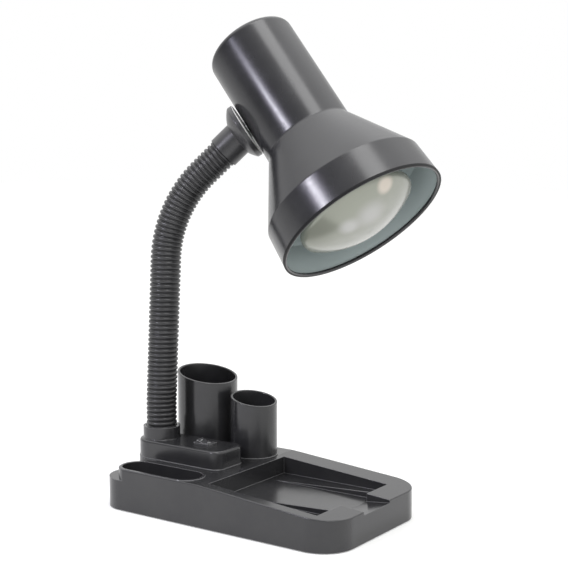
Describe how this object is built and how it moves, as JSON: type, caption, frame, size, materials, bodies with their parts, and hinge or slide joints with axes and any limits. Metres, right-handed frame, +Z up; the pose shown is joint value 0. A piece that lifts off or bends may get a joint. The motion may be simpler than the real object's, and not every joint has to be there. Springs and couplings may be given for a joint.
{
  "type": "desk lamp with organizer",
  "caption": "Black desk lamp on an organizer base with pen cups, an oval tray and a note pocket, a bendable ribbed neck and a swivelling cone shade with a reflector bulb.",
  "frame": {"origin": "centre of the base's footprint, on the underside of the pad that stands on the desk", "axes": "+Z up, +X along the base towards the note pocket, +Y towards the back, where the pen cups and the cable inlet are"},
  "size_m": [0.2227, 0.1595, 0.3649],
  "materials": {
    "black_abs": "gloss",
    "black_enamel": "gloss",
    "black_pvc": "satin",
    "black_nylon": "satin",
    "foam_pad": "matte",
    "black_rubber": "matte",
    "zinc_steel": "satin",
    "core_aluminium": "satin",
    "cap_aluminium": "satin",
    "brass": "satin",
    "white_porcelain": "satin",
    "frosted_glass": "satin",
    "black_switch": "satin",
    "block_nylon": "matte"
  },
  "bodies": {
    "base": {"base_shell": "black_abs", "bottom_plate": "zinc_steel", "base_pad": "foam_pad", "ballast_plate": "zinc_steel", "base_screw_1": "zinc_steel", "base_screw_2": "zinc_steel", "base_screw_3": "zinc_steel", "base_screw_4": "zinc_steel", "large_pen_cup": "black_abs", "small_pen_cup": "black_abs", "switch_housing": "black_abs", "switch_frame": "black_switch", "switch_terminal_1": "brass", "switch_terminal_2": "brass", "cable_grommet": "black_rubber", "terminal_block": "block_nylon", "neck_stud": "core_aluminium", "neck_washer": "zinc_steel", "neck_nut": "zinc_steel", "neck_sleeve": "black_pvc"},
    "rocker": {"switch_rocker": "black_switch"},
    "neck_1": {"neck_link_1": "core_aluminium"},
    "neck_2": {"neck_link_2": "core_aluminium"},
    "neck_3": {"neck_link_3": "core_aluminium"},
    "neck_4": {"neck_link_4": "core_aluminium"},
    "neck_5": {"neck_link_5": "core_aluminium"},
    "neck_6": {"neck_link_6": "core_aluminium", "knuckle": "black_nylon", "pivot_stud": "zinc_steel", "pivot_spacer": "zinc_steel", "pivot_spring": "zinc_steel", "pivot_nut": "zinc_steel"},
    "head": {"shade": "black_enamel", "pivot_saddle": "black_nylon", "holder_bracket": "zinc_steel", "lamp_holder": "white_porcelain", "holder_shell": "brass", "holder_tongue": "brass", "bulb_glass": "frosted_glass", "bulb_cap": "cap_aluminium", "bulb_contact": "brass"}
  },
  "joints": [
    {"name": "rocker_tilt", "type": "hinge", "parent": "base", "child": "rocker", "pos_m": [-0.0436, -0.0092, 0.0459], "axis": [0, -1, 0], "range_deg": [0, 16]},
    {"name": "neck_bend_1", "type": "hinge", "parent": "base", "child": "neck_1", "pos_m": [-0.0862, -0.0092, 0.0697], "axis": [-0.5373, 0.8434, 0], "range_deg": [-30, 20], "deforming": ["neck_sleeve"]},
    {"name": "neck_sway_1", "type": "hinge", "parent": "neck_1", "child": "neck_2", "pos_m": [-0.08501, -0.00844, 0.10767], "axis": [0.8427, 0.5368, -0.0419], "range_deg": [-25, 25], "deforming": ["neck_sleeve"]},
    {"name": "neck_bend_2", "type": "hinge", "parent": "neck_2", "child": "neck_3", "pos_m": [-0.08366, -0.00758, 0.14564], "axis": [-0.5373, 0.8434, 0], "range_deg": [-30, 20], "deforming": ["neck_sleeve"]},
    {"name": "neck_sway_2", "type": "hinge", "parent": "neck_3", "child": "neck_4", "pos_m": [-0.08232, -0.00673, 0.1836], "axis": [0.8425, 0.5368, -0.0452], "range_deg": [-25, 25], "deforming": ["neck_sleeve"]},
    {"name": "neck_bend_3", "type": "hinge", "parent": "neck_4", "child": "neck_5", "pos_m": [-0.07478, -0.00193, 0.22029], "axis": [-0.5373, 0.8434, 0], "range_deg": [-30, 20], "deforming": ["neck_sleeve"]},
    {"name": "neck_sway_3", "type": "hinge", "parent": "neck_5", "child": "neck_6", "pos_m": [-0.05611, 0.00997, 0.25089], "axis": [0.5859, 0.3732, -0.7193], "range_deg": [-25, 25], "deforming": ["neck_sleeve"]},
    {"name": "head_swivel", "type": "hinge", "parent": "neck_6", "child": "head", "pos_m": [-0.03017, 0.02649, 0.28059], "axis": [0.7049, 0.4491, 0.549], "range_deg": [-150, 150]}
  ]
}
